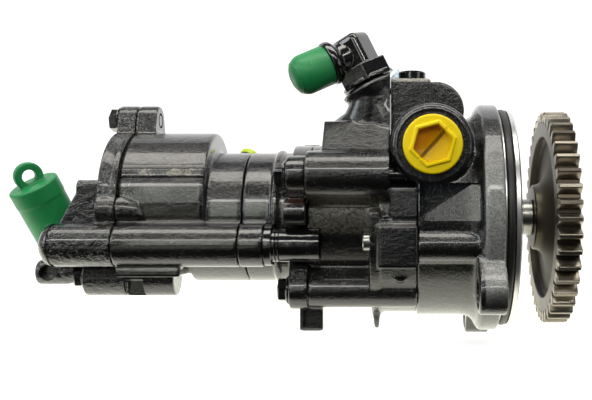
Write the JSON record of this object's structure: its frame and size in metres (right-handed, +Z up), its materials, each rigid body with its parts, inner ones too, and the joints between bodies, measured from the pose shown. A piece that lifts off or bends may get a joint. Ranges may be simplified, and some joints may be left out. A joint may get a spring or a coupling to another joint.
{
  "type": "power steering pump",
  "caption": "Gear-driven vane pump in a flanged cast housing with a second gear pump bolted behind it, its ports closed by plastic caps and plugs.",
  "frame": {"origin": "centre of the flange's mounting face, on the drive axis", "axes": "+X along the drive axis towards the drive gear, +Z up through the suction elbow, -Y the side with the plugged pressure port"},
  "size_m": [0.355, 0.1639, 0.1968],
  "materials": {
    "black_paint": "gloss black enamel over sand-cast iron",
    "gear_steel": "hobbed steel with a thin film of oil",
    "bright_steel": "ground and polished",
    "bronze": "bearing bronze, turned",
    "black_rubber": "matt",
    "green_plastic": "satin, soft moulded",
    "yellow_plastic": "satin, moulded",
    "lime_plastic": "satin, moulded"
  },
  "bodies": {
    "housing": {"flange_housing": "black_paint", "main_housing": "black_paint", "adapter_housing": "black_paint", "rear_pump_body": "black_paint", "rear_pump_cover": "black_paint", "flow_valve_plug": "black_paint", "elbow_fitting": "black_paint", "crossover_sleeve": "black_paint", "housing_bolt_near_upper": "black_paint", "housing_bolt_near_lower": "black_paint", "housing_bolt_far_upper": "black_paint", "housing_bolt_far_lower": "black_paint", "cover_bolt_top": "black_paint", "cover_bolt_lower": "black_paint", "cover_bolt_far": "black_paint", "bearing_outer_race": "bright_steel", "bearing_circlip": "bright_steel", "upper_dowel": "bright_steel", "lower_dowel": "bright_steel", "flow_valve_spring": "bright_steel", "gallery_pin": "bright_steel", "cam_ring": "bright_steel", "front_side_plate": "bronze", "rear_side_plate": "bronze", "shaft_bush": "bronze", "front_bearing_block": "bronze", "rear_bearing_block": "bronze", "pilot_o_ring": "black_rubber", "shaft_seal": "black_rubber", "left_port_cap": "green_plastic", "upper_port_cap": "green_plastic", "pressure_port_plug": "yellow_plastic", "rear_port_plug": "lime_plastic"},
    "drive_train": {"drive_shaft": "bright_steel", "drive_gear": "gear_steel", "gear_key": "gear_steel", "gear_washer": "gear_steel", "gear_nut": "gear_steel", "bearing_inner_race": "bright_steel", "rotor": "bright_steel", "rear_drive_gear": "bright_steel"},
    "ball_cage": {"bearing_ball_cage": "bronze"},
    "driven_gear": {"rear_driven_gear": "bright_steel"},
    "valve_spool": {"flow_valve_spool": "bright_steel"},
    "vane_01": {"vane_01": "bright_steel"},
    "vane_02": {"vane_02": "bright_steel"},
    "vane_03": {"vane_03": "bright_steel"},
    "vane_04": {"vane_04": "bright_steel"},
    "vane_05": {"vane_05": "bright_steel"},
    "vane_06": {"vane_06": "bright_steel"},
    "vane_07": {"vane_07": "bright_steel"},
    "vane_08": {"vane_08": "bright_steel"},
    "vane_09": {"vane_09": "bright_steel"},
    "vane_10": {"vane_10": "bright_steel"}
  },
  "joints": [
    {"name": "drive_spin", "type": "hinge", "parent": "housing", "child": "drive_train", "pos_m": [0, 0, 0], "axis": [1, 0, 0], "continuous": true},
    {"name": "cage_spin", "type": "hinge", "parent": "housing", "child": "ball_cage", "pos_m": [-0.01, 0, 0], "axis": [1, 0, 0], "continuous": true},
    {"name": "driven_gear_spin", "type": "hinge", "parent": "housing", "child": "driven_gear", "pos_m": [-0.209, 0, 0.03], "axis": [1, 0, 0], "continuous": true},
    {"name": "spool_slide", "type": "slide", "parent": "housing", "child": "valve_spool", "axis": [0, 0, 1], "range_m": [0, 0.005], "stiffness_N_per_m": 1500, "springref_m": -0.002, "deforming": ["flow_valve_spring"]},
    {"name": "vane_01_slide", "type": "slide", "parent": "drive_train", "child": "vane_01", "axis": [0, -1, 0], "range_m": [-0.0015, 0]},
    {"name": "vane_02_slide", "type": "slide", "parent": "drive_train", "child": "vane_02", "axis": [0, -0.809, 0.5878], "range_m": [-0.0015, 0]},
    {"name": "vane_03_slide", "type": "slide", "parent": "drive_train", "child": "vane_03", "axis": [0, -0.309, 0.9511], "range_m": [-0.0015, 0]},
    {"name": "vane_04_slide", "type": "slide", "parent": "drive_train", "child": "vane_04", "axis": [0, 0.309, 0.9511], "range_m": [-0.0015, 0]},
    {"name": "vane_05_slide", "type": "slide", "parent": "drive_train", "child": "vane_05", "axis": [0, 0.809, 0.5878], "range_m": [-0.0015, 0]},
    {"name": "vane_06_slide", "type": "slide", "parent": "drive_train", "child": "vane_06", "axis": [0, 1, 0], "range_m": [-0.0015, 0]},
    {"name": "vane_07_slide", "type": "slide", "parent": "drive_train", "child": "vane_07", "axis": [0, 0.809, -0.5878], "range_m": [-0.0015, 0]},
    {"name": "vane_08_slide", "type": "slide", "parent": "drive_train", "child": "vane_08", "axis": [0, 0.309, -0.9511], "range_m": [-0.0015, 0]},
    {"name": "vane_09_slide", "type": "slide", "parent": "drive_train", "child": "vane_09", "axis": [0, -0.309, -0.9511], "range_m": [-0.0015, 0]},
    {"name": "vane_10_slide", "type": "slide", "parent": "drive_train", "child": "vane_10", "axis": [0, -0.809, -0.5878], "range_m": [-0.0015, 0]}
  ],
  "couplings": [
    {"joint": "cage_spin", "follows": "drive_spin", "ratio": 0.3846},
    {"joint": "driven_gear_spin", "follows": "drive_spin", "ratio": -1}
  ]
}
